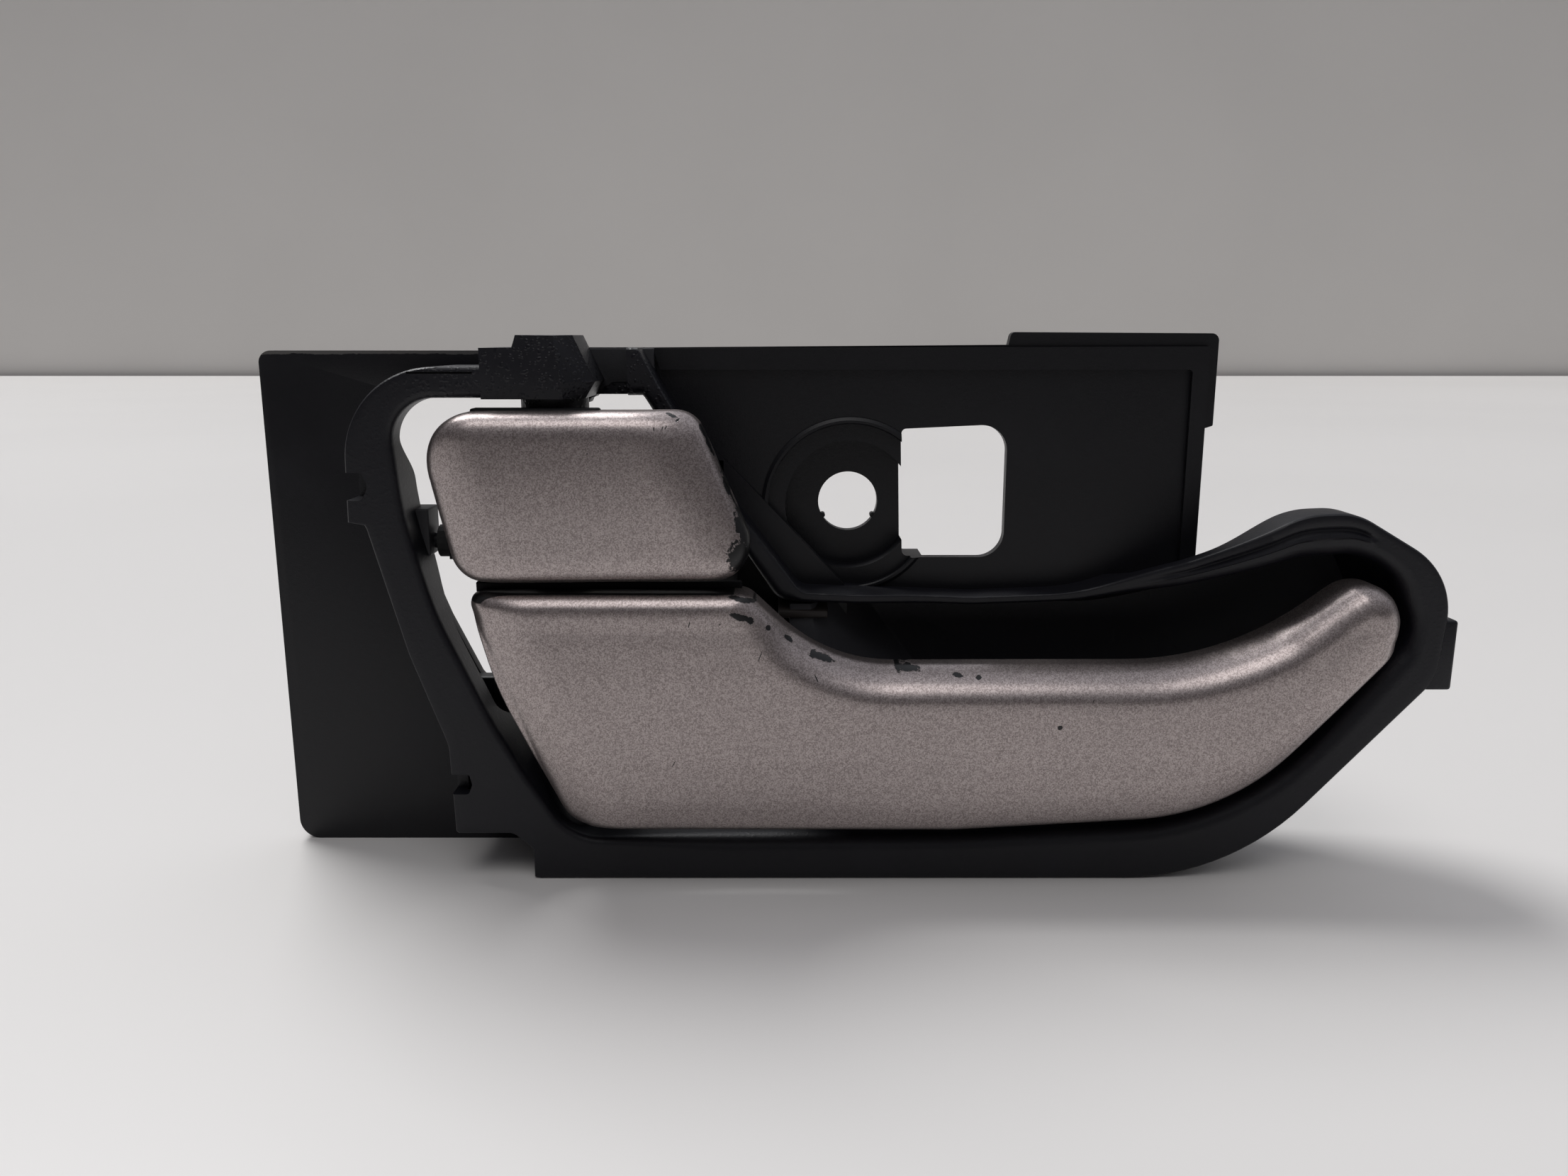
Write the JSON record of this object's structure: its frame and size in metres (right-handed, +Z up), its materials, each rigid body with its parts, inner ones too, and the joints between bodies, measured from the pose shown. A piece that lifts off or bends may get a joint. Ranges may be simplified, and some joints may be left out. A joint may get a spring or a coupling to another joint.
{
  "type": "interior car door handle",
  "caption": "Interior car door handle: black moulded housing with a painted pull lever and a painted lock knob that turn on one upright pin.",
  "frame": {"origin": "middle of the base that it stands on, the lower edge of the rim and plates", "axes": "+X to the lever's free end, +Y into the door, +Z up"},
  "size_m": [0.1888, 0.047, 0.0866],
  "materials": {
    "black_plastic": "black moulded plastic, fine grain on the rim and tower, smoother on the plates",
    "carrier_plastic": "black glass-filled plastic, semi-matte",
    "silver_paint": "warm silver metallic paint on plastic, satin, chipped through to black along the top edges",
    "bright_steel": "ground steel",
    "spring_steel": "spring steel, lightly oiled",
    "zinc_steel": "zinc plated steel",
    "nylon": "natural nylon",
    "clip_nylon": "natural nylon",
    "rubber": "black rubber"
  },
  "bodies": {
    "housing": {"housing": "black_plastic", "hinge_pin": "bright_steel", "pin_clip": "spring_steel", "spacer_washer": "nylon", "lever_bumper": "rubber", "knob_bumper": "rubber", "detent_spring": "spring_steel", "detent_screw": "zinc_steel"},
    "lever": {"lever_shell": "silver_paint", "lever_carrier": "carrier_plastic", "lever_bush_lower": "nylon", "lever_bush_upper": "nylon", "lever_screw_left": "zinc_steel", "lever_screw_right": "zinc_steel", "return_spring": "spring_steel"},
    "knob": {"knob_cap": "silver_paint", "knob_carrier": "carrier_plastic", "knob_bush_lower": "nylon", "knob_bush_upper": "nylon", "knob_screw": "zinc_steel"},
    "lever_clip": {"lever_rod_clip": "clip_nylon"},
    "knob_clip": {"knob_rod_clip": "clip_nylon"}
  },
  "joints": [
    {"name": "lever_pull", "type": "hinge", "parent": "housing", "child": "lever", "pos_m": [-0.04545, -0.0095, 0.033], "axis": [0, 0, -1], "range_deg": [0, 20], "stiffness_Nm_per_rad": 0.8, "springref_deg": -28.65, "deforming": ["return_spring"]},
    {"name": "lock_turn", "type": "hinge", "parent": "housing", "child": "knob", "pos_m": [-0.04545, -0.0095, 0.062], "axis": [0, 0, 1], "range_deg": [0, 10]},
    {"name": "lever_clip_swivel", "type": "hinge", "parent": "lever", "child": "lever_clip", "pos_m": [-0.04345, 0.0165, 0.023], "axis": [0, 0, 1], "range_deg": [-45, 45]},
    {"name": "knob_clip_swivel", "type": "hinge", "parent": "knob", "child": "knob_clip", "pos_m": [-0.04745, 0.0165, 0.07], "axis": [0, 0, 1], "range_deg": [-45, 45]}
  ]
}
